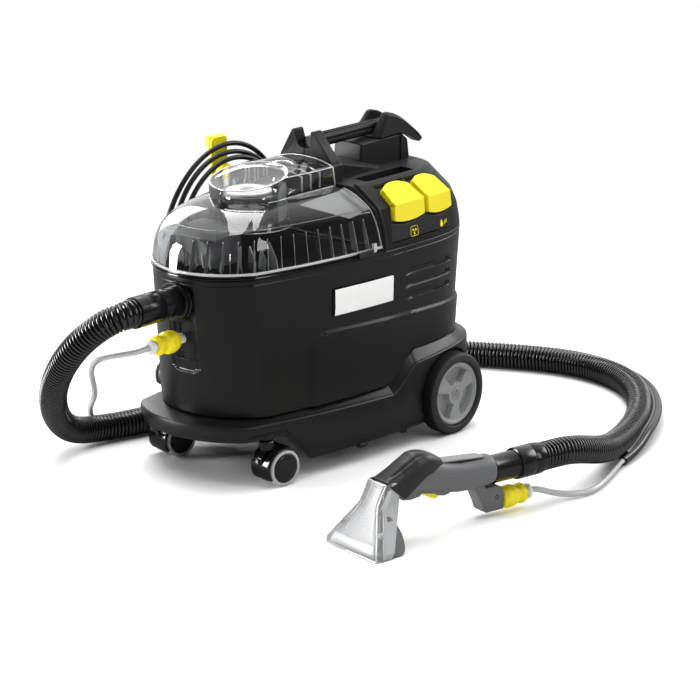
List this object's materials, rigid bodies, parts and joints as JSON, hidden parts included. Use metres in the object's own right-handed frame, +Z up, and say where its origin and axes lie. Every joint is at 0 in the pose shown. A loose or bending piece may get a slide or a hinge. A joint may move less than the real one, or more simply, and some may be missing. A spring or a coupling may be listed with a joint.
{
  "type": "spot extractor",
  "caption": "Wheeled spot extractor for carpet and upholstery: dark body, clear recovery lid, coiled cord, and a long suction hose to a spray hand tool",
  "frame": {"origin": "on the floor, under the middle of the machine, in its plane of symmetry", "axes": "+Z is up; the suction port and the casters are at the -Y end; the switches and the plain badge are on the +X side, and the coiled cord is on the -X side"},
  "size_m": [0.6769, 0.9075, 0.44],
  "materials": {
    "casing_black": "moulded satin charcoal-black plastic, fine texture",
    "chassis_black": "moulded satin black plastic",
    "clear_plastic": "clear moulded plastic",
    "white_plastic": "white moulded plastic",
    "natural_plastic": "translucent natural plastic",
    "grey_plastic": "grey moulded plastic",
    "silver_plastic": "silver-grey satin plastic",
    "tread_grey": "light grey soft tread",
    "tyre_rubber": "black rubber tyre",
    "seal_rubber": "black rubber seal",
    "yellow_plastic": "signal yellow moulded plastic",
    "badge_white": "plain white plate",
    "tool_grey": "mid grey moulded plastic",
    "tool_dark": "dark satin plastic",
    "hose_black": "black corrugated hose plastic",
    "cuff_rubber": "black moulded rubber",
    "cord_rubber": "black cord sheath",
    "sleeve_black": "glossy black sleeve",
    "clear_tube": "clear vinyl tube",
    "steel": "plain steel",
    "filter_steel": "fine polished steel mesh",
    "motor_metal": "zinc plated motor casing"
  },
  "bodies": {
    "machine": {"chassis": "chassis_black", "rear_axle": "steel", "axle_clips": "steel", "body_shell": "casing_black", "fresh_water_tank": "natural_plastic", "water_filter": "white_plastic", "motor_cover": "casing_black", "carry_handle": "casing_black", "handle_screws": "steel", "switch_panel": "tool_dark", "vacuum_motor": "motor_metal", "motor_gasket": "seal_rubber", "pump": "motor_metal", "pump_hoses": "natural_plastic", "badge_plate": "badge_white", "power_cord": "cord_rubber", "mains_plug": "cord_rubber", "hose_socket": "casing_black", "machine_hose_cuff": "cuff_rubber", "suction_hose": "hose_black", "hose_sleeve": "sleeve_black", "spray_tube": "clear_tube", "machine_spray_core": "white_plastic", "tool_hose_cuff": "cuff_rubber"},
    "recovery_tank": {"dirty_water_tank": "grey_plastic"},
    "lid": {"clear_lid": "clear_plastic", "lid_seal": "seal_rubber", "inlet_deflector": "grey_plastic", "float_cage": "white_plastic", "filter_sleeve": "filter_steel"},
    "float": {"float_ball": "white_plastic"},
    "right_wheel": {"wheel_right": "silver_plastic", "tyre_right": "tyre_rubber"},
    "left_wheel": {"wheel_left": "silver_plastic", "tyre_left": "tyre_rubber"},
    "right_caster": {"caster_fork_right": "chassis_black", "caster_axle_right": "steel"},
    "left_caster": {"caster_fork_left": "chassis_black", "caster_axle_left": "steel"},
    "right_caster_wheels": {"caster_wheels_right": "tool_dark", "caster_treads_right": "tread_grey"},
    "left_caster_wheels": {"caster_wheels_left": "tool_dark", "caster_treads_left": "tread_grey"},
    "suction_rocker": {"suction_switch": "yellow_plastic"},
    "spray_rocker": {"spray_switch": "yellow_plastic"},
    "hook": {"cable_hook": "yellow_plastic"},
    "fan": {"turbine_fan": "steel"},
    "eccentric": {"pump_eccentric": "steel"},
    "machine_collar": {"machine_spray_collar": "yellow_plastic"},
    "hand_tool": {"tool_body": "tool_grey", "tool_cover": "tool_dark", "nozzle_window": "clear_plastic", "spray_jet": "yellow_plastic", "spray_valve": "grey_plastic", "trigger_pin": "steel", "tool_spray_core": "white_plastic"},
    "trigger": {"trigger": "yellow_plastic"},
    "stem": {"valve_stem": "steel", "valve_spring": "steel"},
    "tool_collar": {"tool_spray_collar": "yellow_plastic"}
  },
  "joints": [
    {"name": "right_wheel_roll", "type": "hinge", "parent": "machine", "child": "right_wheel", "pos_m": [0.134, 0.168, 0.058], "axis": [1, 0, 0], "continuous": true},
    {"name": "left_wheel_roll", "type": "hinge", "parent": "machine", "child": "left_wheel", "pos_m": [-0.134, 0.168, 0.058], "axis": [1, 0, 0], "continuous": true},
    {"name": "right_caster_swivel", "type": "hinge", "parent": "machine", "child": "right_caster", "pos_m": [0.095, -0.171, 0.05], "axis": [0, 0, 1], "continuous": true},
    {"name": "left_caster_swivel", "type": "hinge", "parent": "machine", "child": "left_caster", "pos_m": [-0.095, -0.171, 0.05], "axis": [0, 0, 1], "continuous": true},
    {"name": "right_caster_roll", "type": "hinge", "parent": "right_caster", "child": "right_caster_wheels", "pos_m": [0.09737, -0.15416, 0.025], "axis": [0.9903, -0.1392, 0], "continuous": true},
    {"name": "left_caster_roll", "type": "hinge", "parent": "left_caster", "child": "left_caster_wheels", "pos_m": [-0.09263, -0.15416, 0.025], "axis": [0.9903, -0.1392, 0], "continuous": true},
    {"name": "tank_lift", "type": "slide", "parent": "machine", "child": "recovery_tank", "axis": [0, -0.1478, 0.989], "range_m": [0, 0.15]},
    {"name": "lid_lift", "type": "slide", "parent": "recovery_tank", "child": "lid", "axis": [0, -0.1478, 0.989], "range_m": [0, 0.12]},
    {"name": "float_rise", "type": "slide", "parent": "lid", "child": "float", "axis": [0, 0, 1], "range_m": [0, 0.016]},
    {"name": "suction_rocker_tilt", "type": "hinge", "parent": "machine", "child": "suction_rocker", "pos_m": [0.109, 0.083, 0.332], "axis": [0, 1, 0], "range_deg": [-5, 5]},
    {"name": "spray_rocker_tilt", "type": "hinge", "parent": "machine", "child": "spray_rocker", "pos_m": [0.109, 0.15, 0.332], "axis": [0, 1, 0], "range_deg": [-5, 5]},
    {"name": "hook_turn", "type": "hinge", "parent": "machine", "child": "hook", "pos_m": [-0.131, 0.024, 0.356], "axis": [1, 0, 0], "range_deg": [0, 180]},
    {"name": "fan_spin", "type": "hinge", "parent": "machine", "child": "fan", "pos_m": [0.034, 0.15, 0.19], "axis": [0, 0, 1], "continuous": true},
    {"name": "eccentric_spin", "type": "hinge", "parent": "machine", "child": "eccentric", "pos_m": [-0.072, 0.11, 0.19], "axis": [0, 1, 0], "continuous": true},
    {"name": "machine_collar_release", "type": "slide", "parent": "machine", "child": "machine_collar", "axis": [0, -1, 0], "range_m": [0, 0.0035], "stiffness_N_per_m": 300},
    {"name": "tool_swivel", "type": "hinge", "parent": "machine", "child": "hand_tool", "pos_m": [0.38747, -0.08718, 0.062], "axis": [0.1994, 0.9799, 0], "range_deg": [-30, 30]},
    {"name": "trigger_squeeze", "type": "hinge", "parent": "hand_tool", "child": "trigger", "pos_m": [0.36434, -0.20085, 0.066], "axis": [0.9799, -0.1994, 0], "range_deg": [0, 9], "stiffness_Nm_per_rad": 0.5},
    {"name": "stem_push", "type": "slide", "parent": "hand_tool", "child": "stem", "axis": [0.1994, 0.9799, 0], "range_m": [0, 0.0016], "deforming": ["valve_spring"]},
    {"name": "tool_collar_release", "type": "slide", "parent": "hand_tool", "child": "tool_collar", "axis": [0.1994, 0.9799, 0], "range_m": [0, 0.0035], "stiffness_N_per_m": 300}
  ],
  "couplings": [
    {"joint": "stem_push", "follows": "trigger_squeeze", "m_per_rad": 0.0095}
  ]
}
